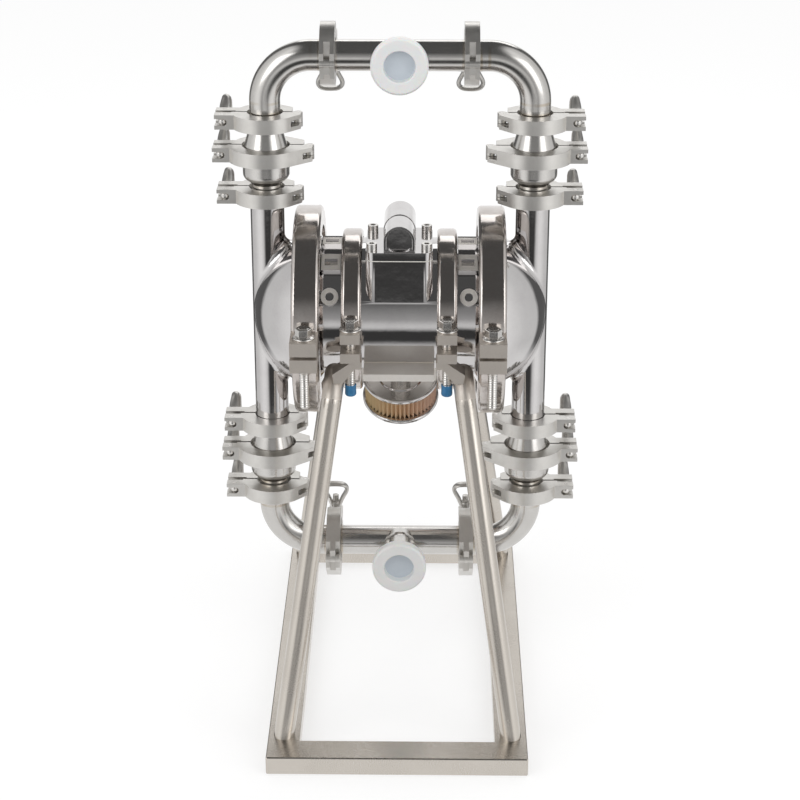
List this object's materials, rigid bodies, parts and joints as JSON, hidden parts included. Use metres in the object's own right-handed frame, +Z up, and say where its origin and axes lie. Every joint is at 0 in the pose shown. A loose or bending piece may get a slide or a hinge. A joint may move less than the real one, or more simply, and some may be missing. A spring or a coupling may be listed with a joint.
{
  "type": "diaphragm pump",
  "caption": "Air-operated diaphragm pump of polished steel on a legged frame, with domed fluid chambers, clamped ball-valve stacks and tube manifolds with capped ports.",
  "frame": {"origin": "on the floor under the middle of the pump, centre of the base frame's underside", "axes": "+Z up, +X along the diaphragm shaft towards the right-hand fluid chamber, ports face -Y"},
  "size_m": [0.46, 0.602, 0.868],
  "materials": {
    "polished_steel": "mirror polished stainless steel",
    "tube_steel": "satin polished stainless steel tube",
    "cast_steel": "investment-cast stainless steel, satin",
    "stand_steel": "semi-polished stainless steel",
    "bolt_steel": "bright stainless fasteners",
    "cap_plastic": "translucent white",
    "blue_plastic": "blue",
    "ball_rubber": "off-white elastomer",
    "seal_rubber": "white seal",
    "diaphragm_rubber": "black elastomer",
    "bush_plastic": "natural bearing plastic",
    "filter_paper": "pleated tan filter paper"
  },
  "bodies": {
    "pump": {"air_chamber_left": "polished_steel", "air_chamber_right": "polished_steel", "base_frame": "stand_steel", "bolt_end_caps": "blue_plastic", "centre_housing": "polished_steel", "clamp_bolts": "bolt_steel", "cover_gasket": "seal_rubber", "cover_screws": "bolt_steel", "diaphragm_left": "diaphragm_rubber", "diaphragm_right": "diaphragm_rubber", "exhaust_pipe": "tube_steel", "ferrule_gaskets": "seal_rubber", "filter_caps": "tube_steel", "filter_paper": "filter_paper", "fluid_chamber_left": "polished_steel", "fluid_chamber_right": "polished_steel", "inlet_elbows": "tube_steel", "inlet_tee": "tube_steel", "left_stack_clamps": "cast_steel", "legs_left": "stand_steel", "legs_right": "stand_steel", "main_band_bolts": "bolt_steel", "main_band_left": "polished_steel", "main_band_right": "polished_steel", "manifold_clamps": "cast_steel", "outlet_elbows": "tube_steel", "outlet_tee": "tube_steel", "right_stack_clamps": "cast_steel", "shaft_bushes": "bush_plastic", "small_band_bolts": "bolt_steel", "small_band_left": "polished_steel", "small_band_right": "polished_steel", "valve_cones": "tube_steel", "valve_cover": "polished_steel", "valve_cups": "tube_steel"},
    "shaft": {"diaphragm_shaft": "tube_steel", "diaphragm_plates": "tube_steel"},
    "spool": {"valve_spool": "tube_steel"},
    "outlet_cap": {"outlet_cap": "cap_plastic"},
    "inlet_cap": {"inlet_cap": "cap_plastic"},
    "inlet_ball_left": {"inlet_ball_left": "ball_rubber"},
    "inlet_ball_right": {"inlet_ball_right": "ball_rubber"},
    "nut_bottom_left": {"nut_bottom_left": "cast_steel"},
    "nut_bottom_right": {"nut_bottom_right": "cast_steel"},
    "nut_inlet_ball_left": {"nut_inlet_ball_left": "cast_steel"},
    "nut_inlet_ball_right": {"nut_inlet_ball_right": "cast_steel"},
    "nut_inlet_manifold_left": {"nut_inlet_manifold_left": "cast_steel"},
    "nut_inlet_manifold_right": {"nut_inlet_manifold_right": "cast_steel"},
    "nut_lower_riser_left": {"nut_lower_riser_left": "cast_steel"},
    "nut_lower_riser_right": {"nut_lower_riser_right": "cast_steel"},
    "nut_outlet_ball_left": {"nut_outlet_ball_left": "cast_steel"},
    "nut_outlet_ball_right": {"nut_outlet_ball_right": "cast_steel"},
    "nut_outlet_manifold_left": {"nut_outlet_manifold_left": "cast_steel"},
    "nut_outlet_manifold_right": {"nut_outlet_manifold_right": "cast_steel"},
    "nut_top_left": {"nut_top_left": "cast_steel"},
    "nut_top_right": {"nut_top_right": "cast_steel"},
    "nut_upper_riser_left": {"nut_upper_riser_left": "cast_steel"},
    "nut_upper_riser_right": {"nut_upper_riser_right": "cast_steel"},
    "outlet_ball_left": {"outlet_ball_left": "ball_rubber"},
    "outlet_ball_right": {"outlet_ball_right": "ball_rubber"}
  },
  "joints": [
    {"name": "shaft_stroke", "type": "slide", "parent": "pump", "child": "shaft", "axis": [1, 0, 0], "range_m": [-0.01, 0.01], "stiffness_N_per_m": 2000, "deforming": ["diaphragm_left", "diaphragm_right"]},
    {"name": "spool_shift", "type": "slide", "parent": "pump", "child": "spool", "axis": [0, 1, 0], "range_m": [-0.004, 0.004]},
    {"name": "outlet_lift_right", "type": "slide", "parent": "pump", "child": "outlet_ball_right", "axis": [0, 0, 1], "range_m": [0, 0.009]},
    {"name": "outlet_lift_left", "type": "slide", "parent": "pump", "child": "outlet_ball_left", "axis": [0, 0, 1], "range_m": [0, 0.009]},
    {"name": "inlet_lift_right", "type": "slide", "parent": "pump", "child": "inlet_ball_right", "axis": [0, 0, 1], "range_m": [0, 0.009]},
    {"name": "inlet_lift_left", "type": "slide", "parent": "pump", "child": "inlet_ball_left", "axis": [0, 0, 1], "range_m": [0, 0.009]},
    {"name": "outlet_cap_off", "type": "slide", "parent": "pump", "child": "outlet_cap", "axis": [0, -1, 0], "range_m": [0, 0.04]},
    {"name": "inlet_cap_off", "type": "slide", "parent": "pump", "child": "inlet_cap", "axis": [0, -1, 0], "range_m": [0, 0.04]},
    {"name": "nut_top_right_turn", "type": "hinge", "parent": "pump", "child": "nut_top_right", "pos_m": [0.2165, 0.03, 0.7475], "axis": [0, 1, 0], "continuous": true},
    {"name": "nut_top_left_turn", "type": "hinge", "parent": "pump", "child": "nut_top_left", "pos_m": [-0.2165, 0.03, 0.7475], "axis": [0, 1, 0], "continuous": true},
    {"name": "nut_outlet_ball_right_turn", "type": "hinge", "parent": "pump", "child": "nut_outlet_ball_right", "pos_m": [0.2205, 0.03, 0.706], "axis": [0, 1, 0], "continuous": true},
    {"name": "nut_outlet_ball_left_turn", "type": "hinge", "parent": "pump", "child": "nut_outlet_ball_left", "pos_m": [-0.2205, 0.03, 0.706], "axis": [0, 1, 0], "continuous": true},
    {"name": "nut_upper_riser_right_turn", "type": "hinge", "parent": "pump", "child": "nut_upper_riser_right", "pos_m": [0.2165, 0.03, 0.653], "axis": [0, 1, 0], "continuous": true},
    {"name": "nut_upper_riser_left_turn", "type": "hinge", "parent": "pump", "child": "nut_upper_riser_left", "pos_m": [-0.2165, 0.03, 0.653], "axis": [0, 1, 0], "continuous": true},
    {"name": "nut_lower_riser_right_turn", "type": "hinge", "parent": "pump", "child": "nut_lower_riser_right", "pos_m": [0.2165, 0.03, 0.346], "axis": [0, 1, 0], "continuous": true},
    {"name": "nut_lower_riser_left_turn", "type": "hinge", "parent": "pump", "child": "nut_lower_riser_left", "pos_m": [-0.2165, 0.03, 0.346], "axis": [0, 1, 0], "continuous": true},
    {"name": "nut_inlet_ball_right_turn", "type": "hinge", "parent": "pump", "child": "nut_inlet_ball_right", "pos_m": [0.2205, 0.03, 0.3045], "axis": [0, 1, 0], "continuous": true},
    {"name": "nut_inlet_ball_left_turn", "type": "hinge", "parent": "pump", "child": "nut_inlet_ball_left", "pos_m": [-0.2205, 0.03, 0.3045], "axis": [0, 1, 0], "continuous": true},
    {"name": "nut_bottom_right_turn", "type": "hinge", "parent": "pump", "child": "nut_bottom_right", "pos_m": [0.2165, 0.03, 0.2515], "axis": [0, 1, 0], "continuous": true},
    {"name": "nut_bottom_left_turn", "type": "hinge", "parent": "pump", "child": "nut_bottom_left", "pos_m": [-0.2165, 0.03, 0.2515], "axis": [0, 1, 0], "continuous": true},
    {"name": "nut_outlet_manifold_right_turn", "type": "hinge", "parent": "pump", "child": "nut_outlet_manifold_right", "pos_m": [0.087, 0.0515, 0.797], "axis": [0, 0, -1], "continuous": true},
    {"name": "nut_outlet_manifold_left_turn", "type": "hinge", "parent": "pump", "child": "nut_outlet_manifold_left", "pos_m": [-0.087, 0.0515, 0.797], "axis": [0, 0, -1], "continuous": true},
    {"name": "nut_inlet_manifold_right_turn", "type": "hinge", "parent": "pump", "child": "nut_inlet_manifold_right", "pos_m": [0.087, 0.0555, 0.202], "axis": [0, 0, 1], "continuous": true},
    {"name": "nut_inlet_manifold_left_turn", "type": "hinge", "parent": "pump", "child": "nut_inlet_manifold_left", "pos_m": [-0.087, 0.0555, 0.202], "axis": [0, 0, 1], "continuous": true}
  ]
}
